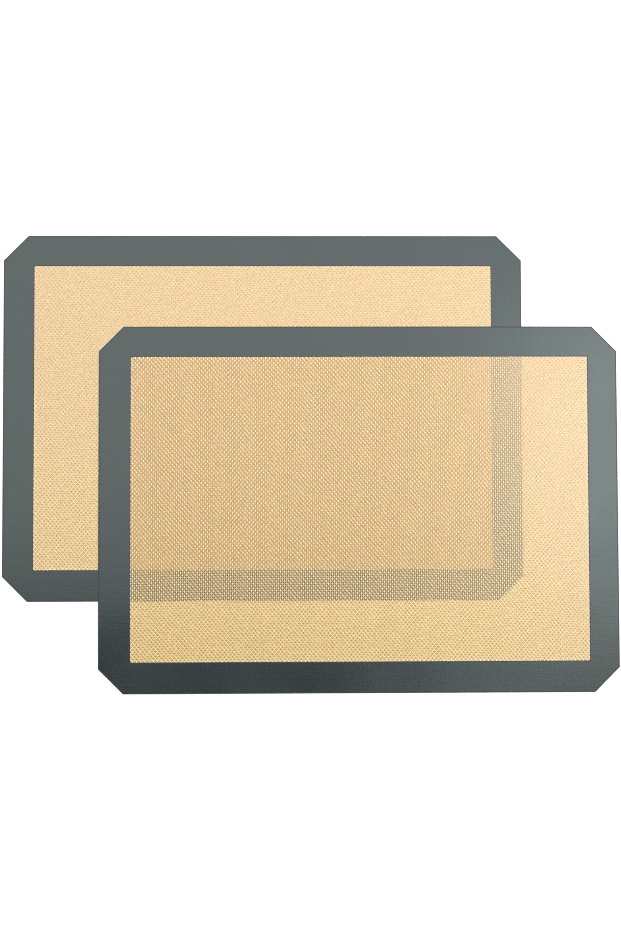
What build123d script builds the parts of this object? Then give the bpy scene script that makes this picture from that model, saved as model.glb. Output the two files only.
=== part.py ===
# A set of two silicone baking mats, the upper one laid loosely across the lower one.
#
# Each mat is a glass cloth between two coats of silicone. A grey border is printed on both
# faces and a bead of silicone seals the cut edge. The coats and the cloth end at the bead,
# so the bead is the only piece that shows from the side.
#
# Frame: +X runs along the mats' length, +Y away from the user, +Z up. The origin is the
# middle of the set's outline, on the surface that the lower mat lies on.
import os

from build123d import *

os.makedirs("parts", exist_ok=True)

# Outline of one mat, in millimetres
mat_length = 419.1
mat_width = 295.3
corner_cut = 20.0
border_width = 25.0
seal_width = 0.9
seal_rounding = 0.12

# Thickness of each layer of a mat
border_thickness = 0.07
coat_thickness = 0.18
cloth_thickness = 0.25

# How far the upper mat's middle lies from the lower mat's middle
shift_right = 77.0
shift_forward = 74.0

# Height of each layer above the mat's own underside
underside_coat_height = border_thickness
cloth_height = underside_coat_height + coat_thickness
face_coat_height = cloth_height + cloth_thickness
face_border_height = face_coat_height + coat_thickness
mat_thickness = face_border_height + border_thickness

# The middle of each mat's underside, so that the set's outline is centred on the origin
mat_places = {
    "lower_mat": (-shift_right / 2, shift_forward / 2, 0),
    "upper_mat": (shift_right / 2, -shift_forward / 2, mat_thickness),
}


def level(mat, height):
    """The horizontal plane at a height above a mat's underside, centred on that mat."""
    x, y, z = mat_places[mat]
    return Plane(origin=(x, y, z + height))


def draw_outline():
    """Draw a mat's outline: a rectangle with its four corners cut off at 45 degrees."""
    Rectangle(mat_length, mat_width)
    chamfer(vertices(), length=corner_cut)


def draw_sealed_outline():
    """Draw the outline inside the edge bead, which is what the bead goes round."""
    draw_outline()
    offset(amount=-seal_width, kind=Kind.INTERSECTION, mode=Mode.REPLACE)


def draw_border():
    """Draw the printed border: the sealed outline with the square-cornered field left open."""
    draw_sealed_outline()
    Rectangle(
        mat_length - 2 * border_width,
        mat_width - 2 * border_width,
        mode=Mode.SUBTRACT,
    )


def write_piece(piece, name):
    """Label a finished piece and write it under its own name."""
    piece.label = name
    export_step(piece, f"parts/{name}.step")


for mat in mat_places:
    # Border printed on the underside, which is what the mat lies on
    with BuildPart() as underside_border:
        with BuildSketch(level(mat, 0)):
            draw_border()
        extrude(amount=border_thickness)
    write_piece(underside_border.part, f"{mat}_underside_border")

    # Silicone under the cloth
    with BuildPart() as underside_coat:
        with BuildSketch(level(mat, underside_coat_height)):
            draw_sealed_outline()
        extrude(amount=coat_thickness)
    write_piece(underside_coat.part, f"{mat}_underside_coat")

    # Plain-woven glass cloth, sealed between the coats
    with BuildPart() as glass_cloth:
        with BuildSketch(level(mat, cloth_height)):
            draw_sealed_outline()
        extrude(amount=cloth_thickness)
    write_piece(glass_cloth.part, f"{mat}_glass_cloth")

    # Silicone over the cloth, which food is baked on
    with BuildPart() as face_coat:
        with BuildSketch(level(mat, face_coat_height)):
            draw_sealed_outline()
        extrude(amount=coat_thickness)
    write_piece(face_coat.part, f"{mat}_face_coat")

    # Border printed on the baking face
    with BuildPart() as face_border:
        with BuildSketch(level(mat, face_border_height)):
            draw_border()
        extrude(amount=border_thickness)
    write_piece(face_border.part, f"{mat}_face_border")

    # Bead along the cut edge, as tall as the whole mat and rounded where it is handled
    with BuildPart() as edge_seal:
        with BuildSketch(level(mat, 0)):
            draw_outline()
        extrude(amount=mat_thickness)
        with BuildSketch(level(mat, 0)):
            draw_sealed_outline()
        extrude(amount=mat_thickness, mode=Mode.SUBTRACT)
        flat_faces = edge_seal.faces().filter_by(Axis.Z)
        rims = ShapeList(edge for face in flat_faces for edge in face.outer_wire().edges())
        fillet(rims, radius=seal_rounding)
    write_piece(edge_seal.part, f"{mat}_edge_seal")
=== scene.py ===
"""Two silicone baking mats, the upper one laid loosely across the lower one."""
import math

import bpy
import numpy as np
from mathutils import Matrix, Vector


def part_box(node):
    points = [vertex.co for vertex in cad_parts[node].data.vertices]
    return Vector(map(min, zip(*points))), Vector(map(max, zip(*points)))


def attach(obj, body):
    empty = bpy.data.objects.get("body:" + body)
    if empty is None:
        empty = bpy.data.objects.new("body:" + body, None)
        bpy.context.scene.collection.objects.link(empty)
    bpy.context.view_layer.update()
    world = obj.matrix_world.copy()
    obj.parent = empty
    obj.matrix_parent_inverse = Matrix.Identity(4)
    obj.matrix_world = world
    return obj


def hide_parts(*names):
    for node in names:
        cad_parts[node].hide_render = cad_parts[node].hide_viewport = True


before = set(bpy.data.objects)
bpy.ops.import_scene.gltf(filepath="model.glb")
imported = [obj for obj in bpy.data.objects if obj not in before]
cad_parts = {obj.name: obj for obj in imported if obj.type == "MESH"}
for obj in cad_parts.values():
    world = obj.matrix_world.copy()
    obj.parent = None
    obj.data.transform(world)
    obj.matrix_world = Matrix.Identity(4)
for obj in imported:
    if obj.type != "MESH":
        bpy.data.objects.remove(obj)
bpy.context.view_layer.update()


# Camera
# It looks almost straight down from a little under a metre, leaning by the degree or two that
# makes the mats' far edges a little shorter than their near ones.
PHOTO_WIDTH = 621
FOCAL_LENGTH_IN_PIXELS = 1200
CAMERA_PLACE = (-0.0150, -0.0363, 0.9679)
CAMERA_TURN = -0.13
CAMERA_LEAN_BACK = 2.04
CAMERA_LEAN_SIDEWAYS = -0.85

camera = bpy.data.objects.new("camera", bpy.data.cameras.new("camera"))
bpy.context.scene.collection.objects.link(camera)
bpy.context.scene.camera = camera
camera.data.sensor_fit = "HORIZONTAL"
camera.data.lens = camera.data.sensor_width * FOCAL_LENGTH_IN_PIXELS / PHOTO_WIDTH
camera.matrix_world = (
    Matrix.Translation(CAMERA_PLACE)
    @ Matrix.Rotation(math.radians(CAMERA_TURN), 4, "Z")
    @ Matrix.Rotation(math.radians(CAMERA_LEAN_BACK), 4, "X")
    @ Matrix.Rotation(math.radians(CAMERA_LEAN_SIDEWAYS), 4, "Y")
)


# Floor and light
# A white sweep that reads as plain white and still takes the mats' thin shadow. Three soft lamps
# hang overhead, a wide one at the far side and smaller ones to the right and near the front, and
# each leaves its own soft sheen on the silicone.
class Wire:
    """One output of a material's nodes. Sums, differences and products of wires add Math nodes."""

    def __init__(self, tree, socket=None):
        self.tree = tree
        self.socket = socket

    def node(self, kind, settings=None, feeds=None, out=0):
        """Add a node, set it up, feed its sockets with values or wires and give one output."""
        made = self.tree.nodes.new(kind)
        for name, value in (settings or {}).items():
            setattr(made, name, value)
        for name, value in (feeds or {}).items():
            socket = made.inputs[name]
            if isinstance(value, Wire):
                self.tree.links.new(value.socket, socket)
            elif socket.type == "RGBA":
                socket.default_value = (*value[:3], 1.0)
            else:
                socket.default_value = value
        return Wire(self.tree, made.outputs[out] if made.outputs else None)

    def math(self, operation, *values):
        """One Math node on the values, or on this wire alone where none are given."""
        values = values or (self,)
        return self.node("ShaderNodeMath", {"operation": operation}, dict(enumerate(values)))

    def __add__(self, other):
        return self.math("ADD", self, other)

    __radd__ = __add__

    def __sub__(self, other):
        return self.math("SUBTRACT", self, other)

    def __rsub__(self, other):
        return self.math("SUBTRACT", other, self)

    def __mul__(self, other):
        return self.math("MULTIPLY", self, other)

    __rmul__ = __mul__

    def ramp(self, low, high, to_low=0.0, to_high=1.0):
        """Go smoothly from to_low where the wire is low to to_high where it is high."""
        return self.node(
            "ShaderNodeMapRange",
            {"interpolation_type": "SMOOTHSTEP"},
            {"Value": self, "From Min": low, "From Max": high, "To Min": to_low, "To Max": to_high},
        )

    def blend(self, low_colour, high_colour):
        """A colour that goes from one to the other as the wire goes from 0 to 1.

        The Mix node's colours are its inputs 6 and 7, and its blended colour is its output 2.
        """
        return self.node(
            "ShaderNodeMix",
            {"data_type": "RGBA"},
            {"Factor": self, 6: low_colour, 7: high_colour},
            out=2,
        )


def new_material(name):
    """An empty material and the wire from which its nodes are added."""
    material = bpy.data.materials.new(name)
    material.use_nodes = True
    material.node_tree.nodes.clear()
    return material, Wire(material.node_tree)


def finish_material(material, surface):
    """Send a shader to the material's output."""
    surface.node("ShaderNodeOutputMaterial", {}, {"Surface": surface})
    return material


def new_mesh(name, points, faces, material, smooth=True):
    """An object at the origin from an array of points and a list of arrays of faces."""
    mesh = bpy.data.meshes.new(name)
    mesh.from_pydata(points.tolist(), [], [face for part in faces for face in part.tolist()])
    mesh.polygons.foreach_set("use_smooth", np.full(len(mesh.polygons), smooth))
    mesh.materials.append(material)
    made = bpy.data.objects.new(name, mesh)
    bpy.context.scene.collection.objects.link(made)
    return made


FLOOR_WHITE = (0.86, 0.86, 0.86)
FLOOR_GLOW = 0.35
FLOOR_REACH = 3.0
FLOOR_DROP = 0.0001


def floor_material():
    """White paper that the camera, and what it sees by reflection, takes as plain white."""
    material, wire = new_material("white_floor")
    paper = wire.node("ShaderNodeBsdfDiffuse", {}, {"Color": FLOOR_WHITE})
    seen = wire.node("ShaderNodeLightPath", out="Is Camera Ray")
    mirrored = wire.node("ShaderNodeLightPath", out="Is Glossy Ray")
    looked_at = wire.math("MAXIMUM", seen, mirrored)
    glow = wire.node("ShaderNodeEmission", {}, {"Color": (1, 1, 1), "Strength": looked_at * FLOOR_GLOW})
    return finish_material(material, wire.node("ShaderNodeAddShader", {}, {0: paper, 1: glow}))


floor_corners = FLOOR_REACH * np.array([[-1, -1, 0], [1, -1, 0], [1, 1, 0], [-1, 1, 0]], float)
floor = new_mesh(
    "floor", floor_corners - [0, 0, FLOOR_DROP], [np.array([[0, 1, 2, 3]])], floor_material()
)


def soft_lamp(name, place, size, power):
    """A rectangular lamp that hangs level and shines straight down."""
    lamp = bpy.data.lights.new(name, "AREA")
    lamp.shape = "RECTANGLE"
    lamp.size, lamp.size_y = size
    lamp.energy = power
    holder = bpy.data.objects.new(name, lamp)
    holder.location = place
    bpy.context.scene.collection.objects.link(holder)


soft_lamp("far_softbox", place=(0.10, 0.89, 1.6), size=(2.6, 2.3), power=48)
soft_lamp("right_softbox", place=(0.76, 0.03, 1.5), size=(0.58, 0.74), power=4.4)
soft_lamp("near_softbox", place=(0.41, -0.44, 1.5), size=(0.30, 0.26), power=0.7)

ROOM_LIGHT = 0.07
world = bpy.data.worlds.new("studio")
bpy.context.scene.world = world
world.use_nodes = True
world.node_tree.nodes["Background"].inputs["Color"].default_value = (1, 1, 1, 1)
world.node_tree.nodes["Background"].inputs["Strength"].default_value = ROOM_LIGHT
bpy.context.scene.view_settings.view_transform = "Standard"

# A ray passes many films and yarns. The weave is about two pixels wide in the picture, so the
# pixel filter is narrow, and the denoiser, which would smear the weave into stripes, is off.
bpy.context.scene.cycles.transparent_max_bounces = 48
bpy.context.scene.cycles.filter_width = 1.0
bpy.context.scene.cycles.use_denoising = False


# Outline of a mat
# Both mats are cut to fit the floor of a half sheet pan, with their corners cut off at 45
# degrees. Every piece is worked out flat, about its mat's own middle, and then laid in place.
CORNER_CUT = 0.020
BORDER_WIDTH = 0.025
FALL_LENGTH = 0.072


def node_box(mat, layer):
    """Lowest and highest corner of one layer of a mat, in metres."""
    low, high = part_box(f"{mat}_{layer}")
    return np.array(low), np.array(high)


def heights(layer):
    """Lowest and highest point of a layer above its mat's underside, read from the lower mat."""
    low, high = node_box("lower_mat", layer)
    return low[2], high[2]


def middle_of(mat):
    """The middle of a mat's underside."""
    low, high = node_box(mat, "edge_seal")
    return np.array([(low[0] + high[0]) / 2, (low[1] + high[1]) / 2, low[2]])


MIDDLES = {mat: middle_of(mat) for mat in ("lower_mat", "upper_mat")}
seal_low, seal_high = node_box("lower_mat", "edge_seal")
coat_low, coat_high = node_box("lower_mat", "face_coat")
HALF_LENGTH, HALF_WIDTH = (seal_high - seal_low)[:2] / 2
MAT_THICKNESS = (seal_high - seal_low)[2]
FIELD_HALF_LENGTH = HALF_LENGTH - BORDER_WIDTH
FIELD_HALF_WIDTH = HALF_WIDTH - BORDER_WIDTH

# The outline drawn in by the bead's width keeps its 45 degrees, and its cuts get shorter
SEALED_HALF_LENGTH, SEALED_HALF_WIDTH = (coat_high - coat_low)[:2] / 2
SEALED_CUT = CORNER_CUT - (2 - math.sqrt(2)) * (HALF_LENGTH - SEALED_HALF_LENGTH)


def outside(x, y):
    """Distance past a mat's outline, less than 0 on it: the largest distance past any edge."""
    across = np.abs(x) - HALF_LENGTH
    along = np.abs(y) - HALF_WIDTH
    corner = (np.abs(x) + np.abs(y) - (HALF_LENGTH + HALF_WIDTH - CORNER_CUT)) / math.sqrt(2)
    return np.maximum(np.maximum(across, along), corner)


def lay(points, mat):
    """Move a mat's points to its place.

    Past the edge of the lower mat the limp upper mat sinks by one thickness, on the smooth curve
    3t^2 - 2t^3, so that all of it lies on something.
    """
    laid = points + MIDDLES[mat]
    if mat == "upper_mat":
        past = outside(laid[..., 0] - MIDDLES["lower_mat"][0], laid[..., 1] - MIDDLES["lower_mat"][1])
        share = np.clip(past / FALL_LENGTH, 0, 1)
        laid[..., 2] -= MAT_THICKNESS * share**2 * (3 - 2 * share)
    return laid


def path_round(half_length, half_width, cut, counts):
    """Points round a rectangle with cut corners, anticlockwise from the near left.

    counts has the steps along a long side, a short side and a cut, the same on every path, so
    that two paths of different size match point for point.
    """
    along, across, over = counts
    corners = [
        (-half_length + cut, -half_width, along),
        (half_length - cut, -half_width, over),
        (half_length, -half_width + cut, across),
        (half_length, half_width - cut, over),
        (half_length - cut, half_width, along),
        (-half_length + cut, half_width, over),
        (-half_length, half_width - cut, across),
        (-half_length, -half_width + cut, over),
    ]
    pieces = []
    for (x0, y0, steps), (x1, y1, _) in zip(corners, corners[1:] + corners[:1]):
        share = np.arange(steps) / steps
        pieces.append(np.column_stack([x0 + (x1 - x0) * share, y0 + (y1 - y0) * share]))
    return np.concatenate(pieces)


def band(inner, outer, profile):
    """A closed band between two matching paths.

    Point (i, j) lies at the share profile[j, 0] of the way from inner[i] to outer[i], at the
    height profile[j, 1]. The profile runs round the section: out along the top, back below.
    """
    share, height = profile[:, 0], profile[:, 1]
    flat = inner[:, None] + (outer - inner)[:, None] * share[None, :, None]
    rows, columns = flat.shape[:2]
    points = np.concatenate([flat, np.broadcast_to(height[None, :, None], (rows, columns, 1))], axis=2)
    i, j = np.meshgrid(np.arange(rows), np.arange(columns), indexing="ij")
    here, there = (i * columns + j).ravel(), (i * columns + (j + 1) % columns).ravel()
    next_row = ((i + 1) % rows * columns + j).ravel()
    next_there = ((i + 1) % rows * columns + (j + 1) % columns).ravel()
    return points.reshape(-1, 3), [np.column_stack([here, there, next_there, next_row])]


# Printed border
# A band of grey pigmented silicone is screen-printed round both faces, a little proud of the
# coat, and its opening sits a fraction of a millimetre off centre. The weave leaves its inner
# edge in tiny steps, one for each yarn, and shows through the print as a faint relief.
WARP_PITCH = 0.00167
WEFT_PITCH = 0.00189
SERRATION = 0.00022
OPENING_CUT = 0.0006
BORDER_ROUNDING = 0.00005
BORDER_COUNTS = (442, 260, 4)
POINTS_ACROSS_BORDER = 10
PRINT_DRIFT = {"lower_mat": (0.0, 0.0003), "upper_mat": (0.0009, 0.0004)}
PRINT_GREYS = ((0.012, 0.018, 0.021), (0.019, 0.026, 0.029))
# Dark brown along the inner edge of the print
PRINT_EDGE_BROWN = (0.060, 0.046, 0.032)


def weave_relief(wire, x, y):
    """The cloth's crowns, 1 over a yarn and 0 over an opening: cos^2 along each pitch."""
    across = (x * (math.pi / WARP_PITCH)).math("COSINE")
    along = (y * (math.pi / WEFT_PITCH)).math("COSINE")
    return wire.math("MAXIMUM", across * across, along * along)


def place_in(wire, mat):
    """Object coordinates about the mat's own middle: the spot, and its x and y."""
    spot = wire.node("ShaderNodeTexCoord", out="Object")
    moved = wire.node(
        "ShaderNodeVectorMath", {"operation": "SUBTRACT"}, {0: spot, 1: tuple(MIDDLES[mat])}
    )
    split = wire.node("ShaderNodeSeparateXYZ", {}, {"Vector": moved}).socket.node
    return moved, Wire(wire.tree, split.outputs["X"]), Wire(wire.tree, split.outputs["Y"])


def past_opening(wire, mat, x, y):
    """Distance past the opening in a mat's printed border, less than 0 inside it."""
    drift_x, drift_y = PRINT_DRIFT[mat]
    return wire.math(
        "MAXIMUM",
        (x - drift_x).math("ABSOLUTE") - FIELD_HALF_LENGTH,
        (y - drift_y).math("ABSOLUTE") - FIELD_HALF_WIDTH,
    )


def border_material(mat):
    """Satin grey silicone, mottled a little, with the weave's relief and dark brown along its inner edge.
    """
    material, wire = new_material(f"{mat}_border_silicone")
    spot, x, y = place_in(wire, mat)
    cloudy = wire.node("ShaderNodeTexNoise", {}, {"Vector": spot, "Scale": 14.0, "Detail": 4.0})
    fine = wire.node("ShaderNodeTexNoise", {}, {"Vector": spot, "Scale": 900.0, "Detail": 2.0})
    grey = (cloudy * 0.7 + fine * 0.3).ramp(0.3, 0.7).blend(*PRINT_GREYS)
    printed = past_opening(wire, mat, x, y).ramp(0.0003, 0.0010)
    relief = weave_relief(wire, x, y) + fine * 0.25
    bump = wire.node(
        "ShaderNodeBump", {}, {"Height": relief, "Strength": 0.12, "Distance": 0.00010}
    )
    surface = wire.node(
        "ShaderNodeBsdfPrincipled",
        {},
        {
            "Base Color": printed.blend(PRINT_EDGE_BROWN, grey),
            "Roughness": cloudy.ramp(0.2, 0.8, 0.24, 0.30) + (1 - printed) * 0.4,
            "IOR": 1.58,
            "Specular Tint": (0.87, 1.0, 0.98),
            "Normal": bump,
        },
    )
    return finish_material(material, surface)


def border(mat, layer, material):
    """One printed border: a thin band from the stepped opening to the bead, its edges softened."""
    inner = path_round(FIELD_HALF_LENGTH, FIELD_HALF_WIDTH, OPENING_CUT, BORDER_COUNTS)
    outer = path_round(SEALED_HALF_LENGTH, SEALED_HALF_WIDTH, SEALED_CUT, BORDER_COUNTS)
    steps = np.where(np.arange(len(inner)) % 2, SERRATION, 0.0)
    inner = inner * (1 + steps[:, None] / FIELD_HALF_WIDTH) + PRINT_DRIFT[mat]
    low, high = heights(layer)
    soften = BORDER_ROUNDING / BORDER_WIDTH
    ease = BORDER_ROUNDING / 2
    evenly = np.linspace(3 * soften, 1 - 2 * soften, POINTS_ACROSS_BORDER)
    across = np.concatenate([[soften], evenly, [1 - soften / 2]])
    top = np.column_stack([across, np.full(len(across), high)])
    bottom = np.column_stack([across[::-1], np.full(len(across), low)])
    profile = np.vstack([[0, high - ease], top, [1, high - ease], [1, low + ease], bottom, [0, low + ease]])
    points, faces = band(inner, outer, profile)
    made = new_mesh(f"{mat}_{layer}_print", lay(points, mat), faces, material)
    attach(made, mat)
    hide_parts(f"{mat}_{layer}")
    return made


# Edge bead
# The cut edge is sealed all round with a thin bead of darker silicone, wiped on and left
# rounded, so that no glass ends stand out of it.
SEAL_COUNTS = (200, 140, 12)
BEAD_STEPS = 9
BEAD_EASE = 0.00003
BEAD_FLAT = 0.78
BEAD_GREYS = ((0.022, 0.026, 0.026), (0.032, 0.037, 0.038))


def seal_material():
    """Dark grey silicone, a little rougher than the print."""
    material, wire = new_material("edge_silicone")
    spot = wire.node("ShaderNodeTexCoord", out="Object")
    uneven = wire.node("ShaderNodeTexNoise", {}, {"Vector": spot, "Scale": 260.0, "Detail": 3.0})
    bump = wire.node("ShaderNodeBump", {}, {"Height": uneven, "Strength": 0.3, "Distance": 0.0001})
    surface = wire.node(
        "ShaderNodeBsdfPrincipled",
        {},
        {
            "Base Color": uneven.ramp(0.3, 0.7).blend(*BEAD_GREYS),
            "Roughness": uneven.ramp(0.2, 0.8, 0.3, 0.42),
            "IOR": 1.5,
            "Normal": bump,
        },
    )
    return finish_material(material, surface)


def edge_bead(mat, material):
    """The bead round a mat: flat above and below, and half of an ellipse outside.

    The points along the flat keep its shading level right up to the rounding.
    """
    inner = path_round(SEALED_HALF_LENGTH, SEALED_HALF_WIDTH, SEALED_CUT, SEAL_COUNTS)
    outer = path_round(HALF_LENGTH, HALF_WIDTH, CORNER_CUT, SEAL_COUNTS)
    half = MAT_THICKNESS / 2
    turn = np.radians(np.linspace(90, -90, BEAD_STEPS))
    rounding = np.column_stack([BEAD_FLAT + (1 - BEAD_FLAT) * np.cos(turn), half + half * np.sin(turn)])
    flat = np.array([[0.04, 0], [0.10, 0], [0.68, 0]])
    profile = np.vstack([
        [0, MAT_THICKNESS - BEAD_EASE],
        flat + [0, MAT_THICKNESS],
        rounding,
        flat[::-1],
        [0, BEAD_EASE],
    ])
    points, faces = band(inner, outer, profile)
    made = new_mesh(f"{mat}_edge_bead", lay(points, mat), faces, material)
    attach(made, mat)
    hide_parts(f"{mat}_edge_seal")
    return made


# Glass cloth
# Plain weave of twisted glass yarns, warp across the mat and weft along it, each over one and under
# the next, wide where it crowns and pinched where it dips. The weft is pulled a little out of square.
# Under the printed border, where the weave is hidden, the yarns run straight on to the bead.
YARN_RISE = 0.00007
YARN_THICKNESS = 0.00010
TWIST = 0.9
WEAVE_STARTS = {"lower_mat": 0.5 * WARP_PITCH, "upper_mat": 0.0}
SLANTS = {"lower_mat": (0.022, 0.010), "upper_mat": (0.016, -0.045)}
MOST_STRAY = 0.0045
CLOTH_MIDDLE = sum(heights("glass_cloth")) / 2
WOVEN_COLUMNS = math.ceil(FIELD_HALF_LENGTH / WARP_PITCH)
WOVEN_ROWS = math.ceil((FIELD_HALF_WIDTH + MOST_STRAY) / WEFT_PITCH)
ALL_COLUMNS = math.floor((SEALED_HALF_LENGTH - WARP_PITCH) / WARP_PITCH)
ALL_ROWS = math.floor((SEALED_HALF_WIDTH - MOST_STRAY) / WEFT_PITCH)

# Each yarn's narrowest and widest, the way its leaning section points, and its lift when hidden
YARN_SHAPES = {
    "warp_yarns": ((0.00050, 0.00102), np.array([1.0, -TWIST, 0]), 1),
    "weft_yarns": ((0.00050, 0.00098), np.array([TWIST, -1.0, 0]), -1),
}

# Colours of the soaked yarn, colour of the crown and how much of the crown shows
# The crown's pale colour is partly the glass's own and partly a painted highlight
YARN_LOOKS = {
    "warp_yarns": (((0.49, 0.37, 0.15), (0.59, 0.45, 0.19)), (0.93, 0.81, 0.51), 1.0),
    "weft_yarns": (((0.54, 0.41, 0.165), (0.64, 0.49, 0.205)), (0.72, 0.55, 0.26), 0.15),
}
TRANSLUCENT_SHARE = 0.58
CROWN_BESIDE_BORDER = (1.0, 1.0, 0.95)
LIGHT_THROUGH_YARN = (0.88, 0.82, 0.70)


def weft_height(mat, x):
    """How far a weft yarn has strayed at x.

    It is half the field's length times -slant * s + bow * (s^2 - 1) / 2, where s is x as a share
    of that half length.
    """
    slant, bow = SLANTS[mat]
    share = x / FIELD_HALF_LENGTH
    return FIELD_HALF_LENGTH * (-slant * share + bow * (share**2 - 1) / 2)


def reach(past, half):
    """How far the sealed outline reaches along one axis at a distance past the middle on the other.

    It is half the outline's size along that axis, and less where the 45 degree cut comes first.
    """
    cut_line = SEALED_HALF_LENGTH + SEALED_HALF_WIDTH - SEALED_CUT
    return np.minimum(half, cut_line - np.abs(past))


def ribbons(lines, widths, side):
    """Closed flat ribbons along an array of lines, with a section of three points.

    lines is (yarns, points, 3) and widths (yarns, points). The section has its two edges half a
    width to each side and a crown at the top, so a yarn is a low ridge with a flat underside.
    """
    yarn_count, point_count = widths.shape
    to_edge = widths[..., None] / 2 * side
    crown = np.array([0, 0, YARN_THICKNESS])
    points = np.stack([lines - to_edge, lines + crown, lines + to_edge], axis=2)
    index = np.arange(yarn_count * point_count * 3).reshape(yarn_count, point_count, 3)
    first, second = index[:, :-1], index[:, 1:]
    faces = [
        np.stack([first[..., a], first[..., b], second[..., b], second[..., a]], axis=-1).reshape(-1, 4)
        for a, b in ((0, 1), (1, 2), (2, 0))
    ]
    return points.reshape(-1, 3), [*faces, index[:, 0, ::-1], index[:, -1]]


def joined(first, second):
    """Two sets of points and faces as one."""
    points, faces = first
    more_points, more_faces = second
    return np.vstack([points, more_points]), faces + [part + len(points) for part in more_faces]


def yarn_material(mat, name):
    """Glass yarn: amber and translucent where silicone soaks it, pale and solid where it crowns.

    The crown's pale colour is partly the glass's own and partly a painted highlight. It turns to
    white on the last yarns beside the printed border. A shadow ray goes through, a little tinted,
    as light does through glass and silicone.
    """
    material, wire = new_material(f"{mat}_{name}")
    spot, x, y = place_in(wire, mat)
    soaked_colours, crown_colour_and_highlight, crown_share = YARN_LOOKS[name]
    strands = wire.node("ShaderNodeTexNoise", {}, {"Vector": spot, "Scale": 420.0, "Detail": 2.0})
    soaked = wire.node(
        "ShaderNodeBsdfPrincipled",
        {},
        {"Base Color": strands.ramp(0.3, 0.7).blend(*soaked_colours), "Roughness": 0.5, "IOR": 1.3},
    )
    lit_through = wire.node("ShaderNodeBsdfTranslucent", {}, {"Color": (0.80, 0.80, 0.80)})
    glassy = wire.node("ShaderNodeMixShader", {}, {0: TRANSLUCENT_SHARE, 1: soaked, 2: lit_through})
    beside_border = past_opening(wire, mat, x, y).ramp(-0.0020, -0.0012)
    # The crown's colour is partly a painted highlight on the yarn's top.
    crown = wire.node(
        "ShaderNodeBsdfPrincipled",
        {},
        {
            "Base Color": beside_border.blend(crown_colour_and_highlight, CROWN_BESIDE_BORDER),
            "Roughness": 0.5,
            "IOR": 1.3,
        },
    )
    lift = wire.node("ShaderNodeAttribute", {"attribute_name": "lift"}, out="Fac")
    crowned = lift.ramp(0.35, 0.8) * crown_share
    yarn = wire.node("ShaderNodeMixShader", {}, {0: crowned, 1: glassy, 2: crown})
    shadow_ray = wire.node("ShaderNodeLightPath", out="Is Shadow Ray")
    lamp_light = wire.node("ShaderNodeBsdfTransparent", {}, {"Color": LIGHT_THROUGH_YARN})
    surface = wire.node("ShaderNodeMixShader", {}, {0: shadow_ray, 1: yarn, 2: lamp_light})
    return finish_material(material, surface)


def woven_lines(mat, name):
    """Middle lines of the yarns that show, and how high each crossing lifts them, from 0 to 1."""
    columns = np.arange(-WOVEN_COLUMNS, WOVEN_COLUMNS + 1)
    rows = np.arange(-WOVEN_ROWS, WOVEN_ROWS + 1)
    x = columns * WARP_PITCH + WEAVE_STARTS[mat]
    y = rows * WEFT_PITCH + weft_height(mat, x)[:, None]
    x = np.broadcast_to(x[:, None], y.shape)
    lift = (columns[:, None] + rows) % 2.0
    if name == "warp_yarns":
        end_x, end_y = x[:, 0], reach(x[:, 0], SEALED_HALF_WIDTH)
        x = np.column_stack([end_x, x, end_x])
        y = np.column_stack([-end_y, y, end_y])
    else:
        x, y, lift = x.T, y.T, 1 - lift.T
        end_x = reach(y[:, [0, -1]], SEALED_HALF_LENGTH)
        x = np.column_stack([-end_x[:, 0], x, end_x[:, 1]])
        y = np.column_stack([y[:, 0], y, y[:, -1]])
    lift = np.pad(lift, ((0, 0), (1, 1)), constant_values=0.5)
    return x, y, lift


def hidden_lines(mat, name):
    """Straight middle lines of the yarns that lie wholly under the printed border."""
    if name == "warp_yarns":
        far = np.arange(WOVEN_COLUMNS + 1, ALL_COLUMNS + 1) * WARP_PITCH
        x = np.concatenate([-far, far]) + WEAVE_STARTS[mat]
        end = reach(x, SEALED_HALF_WIDTH)
        return np.column_stack([x, x]), np.column_stack([-end, end])
    far = np.arange(WOVEN_ROWS + 1, ALL_ROWS + 1) * WEFT_PITCH
    y = np.concatenate([-far, far])[:, None] + weft_height(mat, FIELD_HALF_LENGTH * np.array([-1, 1]))
    end = reach(y, SEALED_HALF_LENGTH)
    return end * [-1, 1], y


def yarns(mat, name):
    """One of the two sets of yarns of a mat, with the lift of each point kept as an attribute."""
    widths, side, hidden_lift = YARN_SHAPES[name]
    base = CLOTH_MIDDLE - YARN_THICKNESS / 2
    hidden_height = base + YARN_RISE * hidden_lift
    x, y, lift = woven_lines(mat, name)
    lines = np.stack([x, y, base + YARN_RISE * (2 * lift - 1)], axis=2)
    lines[:, [0, -1], 2] = hidden_height
    woven = ribbons(lines, np.interp(lift, (0, 1), widths), side)
    x, y = hidden_lines(mat, name)
    lines = np.stack([x, y, np.full(x.shape, hidden_height)], axis=2)
    hidden = ribbons(lines, np.full(x.shape, sum(widths) / 2), side)
    points, faces = joined(woven, hidden)
    made = new_mesh(f"{mat}_{name}", lay(points, mat), faces, yarn_material(mat, name), smooth=False)
    lifts = np.concatenate([lift.ravel(), np.full(x.size, 0.5)])
    lift_of_points = made.data.attributes.new("lift", "FLOAT", "POINT")
    lift_of_points.data.foreach_set("value", np.repeat(lifts, 3).astype(np.float32))
    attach(made, mat)
    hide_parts(f"{mat}_glass_cloth")
    return made


# Silicone coats
# Translucent amber silicone covers the cloth on both sides. It fills the openings between the
# yarns, so that what lies below shows through them, and its baking face keeps a soft gloss.
COAT_COLUMNS = 210
COAT_ROWS = 148
CUT_ROWS = 12
SHEEN_SHARE = 0.026
UNDERSIDE_HAZE = 0.055

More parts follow.
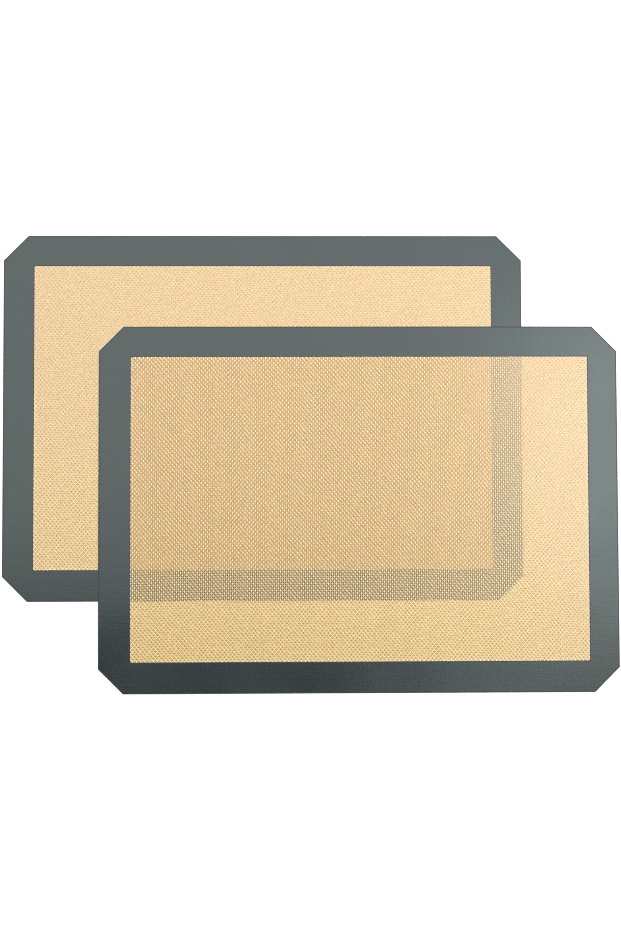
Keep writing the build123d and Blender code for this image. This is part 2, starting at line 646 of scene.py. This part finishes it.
# The way in which the face coat's haze grows, where its growth starts and ends, and its shares
# It grows towards the lamps: partly real haze and partly painted sheen that pales the weave there.
FACE_HAZE_AND_PAINTED_SHEEN = {
    "lower_mat": ((0.0, 1.0), (-0.10, 0.08), (0.06, 0.26)),
    "upper_mat": ((0.93, 0.37), (0.09, 0.18), (0.005, 0.25)),
}

# Each coat's silicone, the colour that it scatters and the colour that it lets through
COAT_LOOKS = {
    "underside_coat": ("underside_silicone", (0.88, 0.48, 0.08), (0.902, 0.85, 0.672)),
    "face_coat": ("face_silicone", (0.67, 0.49, 0.29), (1.0, 0.985, 0.96)),
}


def face_haze_and_painted_sheen(mat, x, y):
    """Share of light a face coat scatters, from least to most towards the lamps: haze, partly painted
    sheen.
    """
    (to_right, to_far), (start, end), (least, most) = FACE_HAZE_AND_PAINTED_SHEEN[mat]
    return (x * to_right + y * to_far).ramp(start, end, least, most)


def coat_material(mat, layer):
    """Amber silicone: a share of the light scatters, and the rest is tinted on its way through.

    The face coat adds a thin sheen. A shadow ray goes straight through with the tint.
    """
    name, body, tint = COAT_LOOKS[layer]
    material, wire = new_material(f"{mat}_{name}")
    spot, x, y = place_in(wire, mat)
    cloudy = wire.node("ShaderNodeTexNoise", {}, {"Vector": spot, "Scale": 9.0, "Detail": 3.0})
    relief = weave_relief(wire, x, y)
    bump = wire.node("ShaderNodeBump", {}, {"Height": relief, "Strength": 0.3, "Distance": 0.00006})
    scattered = wire.node(
        "ShaderNodeBsdfPrincipled",
        {},
        {"Base Color": body, "Roughness": cloudy.ramp(0.2, 0.8, 0.33, 0.4), "IOR": 1.43, "Normal": bump},
    )
    clear = wire.node("ShaderNodeBsdfTransparent", {}, {"Color": tint})
    # On the face coat this share is partly painted sheen, growing towards the lamps.
    haze = face_haze_and_painted_sheen(mat, x, y) if layer == "face_coat" else UNDERSIDE_HAZE
    film = wire.node("ShaderNodeMixShader", {}, {0: haze, 1: clear, 2: scattered})
    if layer == "face_coat":
        sheen = wire.node(
            "ShaderNodeBsdfAnisotropic", {}, {"Color": (1, 1, 1), "Roughness": 0.3, "Normal": bump}
        )
        film = wire.node("ShaderNodeMixShader", {}, {0: SHEEN_SHARE, 1: film, 2: sheen})
    shadow_ray = wire.node("ShaderNodeLightPath", out="Is Shadow Ray")
    surface = wire.node("ShaderNodeMixShader", {}, {0: shadow_ray, 1: film, 2: clear})
    return finish_material(material, surface)


def coat(mat, layer):
    """A closed film between a layer's two heights.

    Point (i, j) of each face lies at y[j], and at an even share, from -1 to 1, of the outline's
    reach there. A rim of quads joins the two faces.
    """
    straight = HALF_WIDTH - CORNER_CUT
    y = np.concatenate([
        np.linspace(-SEALED_HALF_WIDTH, -straight, CUT_ROWS)[:-1],
        np.linspace(-straight, straight, COAT_ROWS),
        np.linspace(straight, SEALED_HALF_WIDTH, CUT_ROWS)[1:],
    ])
    x = np.linspace(-1, 1, COAT_COLUMNS)[:, None] * reach(y, SEALED_HALF_LENGTH)
    grid_y = np.broadcast_to(y, x.shape)
    low, high = heights(layer)
    faces_of_film = [np.stack([x, grid_y, np.full(x.shape, z)], axis=2) for z in (high, low)]
    columns, rows = x.shape
    top = np.arange(columns * rows).reshape(columns, rows)
    below = top + columns * rows
    quads = [
        np.stack([top[:-1, :-1], top[1:, :-1], top[1:, 1:], top[:-1, 1:]], axis=-1).reshape(-1, 4),
        np.stack([below[:-1, :-1], below[:-1, 1:], below[1:, 1:], below[1:, :-1]], axis=-1).reshape(-1, 4),
    ]
    rim = np.concatenate([top[:-1, 0], top[-1, :-1], top[:0:-1, -1], top[0, :0:-1]])
    after = np.roll(rim, -1)
    quads.append(np.column_stack([rim, rim + columns * rows, after + columns * rows, after]))
    points = np.concatenate([face.reshape(-1, 3) for face in faces_of_film])
    made = new_mesh(f"{mat}_{layer}_film", lay(points, mat), quads, coat_material(mat, layer))
    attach(made, mat)
    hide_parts(f"{mat}_{layer}")
    return made


# The set
# The same six layers are put together twice, the lower mat flat on the floor and the upper mat
# across it. Every piece goes with its own mat.
bead_material = seal_material()
for mat in MIDDLES:
    print_material = border_material(mat)
    parts = [
        border(mat, "underside_border", print_material),
        border(mat, "face_border", print_material),
        edge_bead(mat, bead_material),
        yarns(mat, "warp_yarns"),
        yarns(mat, "weft_yarns"),
        coat(mat, "underside_coat"),
    ]
    coat(mat, "face_coat")
